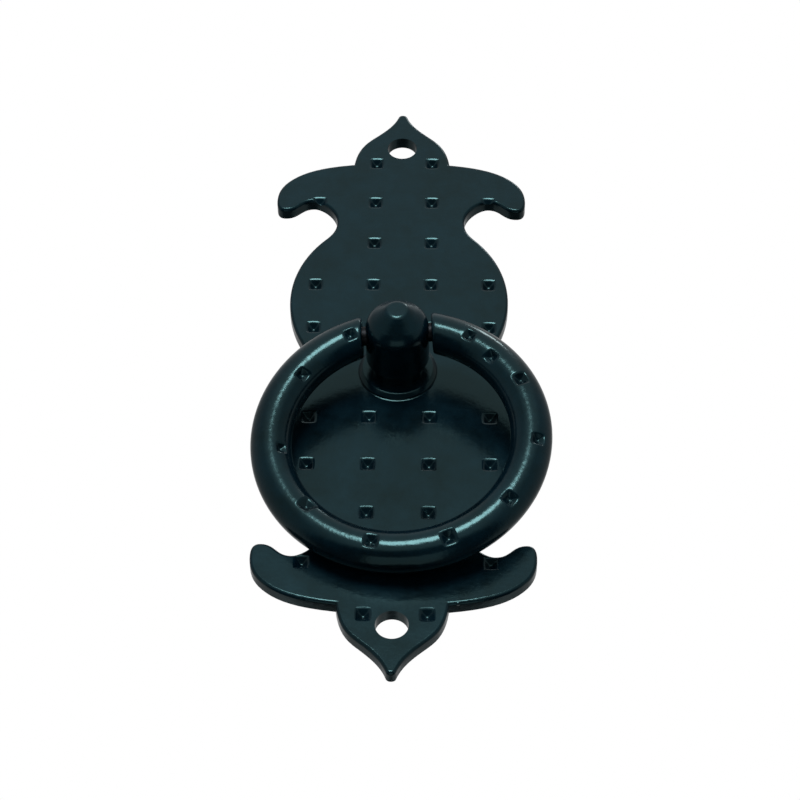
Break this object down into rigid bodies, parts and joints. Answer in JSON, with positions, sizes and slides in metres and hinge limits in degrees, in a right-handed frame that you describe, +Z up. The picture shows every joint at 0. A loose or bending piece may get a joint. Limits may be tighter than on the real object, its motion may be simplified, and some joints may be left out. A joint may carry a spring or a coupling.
{
  "type": "ring door knocker",
  "caption": "Iron ring knocker: a loose round ring hung on a turned knob, on a flat plate with pointed ends, curled arms and punched dents.",
  "frame": {"origin": "on the flat back face, midway between the two screw holes", "axes": "+Z up along the plate, the front faces -Y, +X to the right of someone facing the door"},
  "size_m": [0.0608, 0.022, 0.155],
  "materials": {
    "plate_paint": "black satin paint on iron",
    "knob_paint": "black satin paint on iron",
    "ring_paint": "black satin paint on iron",
    "pin_steel": "blackened steel, oiled",
    "screw_steel": "zinc plated steel"
  },
  "bodies": {
    "plate_body": {"backplate": "plate_paint", "base_collar": "knob_paint", "knob_post": "knob_paint", "pivot_pin": "pin_steel", "post_screw": "screw_steel"},
    "ring_body": {"ring": "ring_paint"}
  },
  "joints": [
    {"name": "ring_swing", "type": "hinge", "parent": "plate_body", "child": "ring_body", "pos_m": [0.0001, -0.0144, -0.0009], "axis": [-0.9972, 0.0662, -0.0349], "range_deg": [0, 194]}
  ]
}
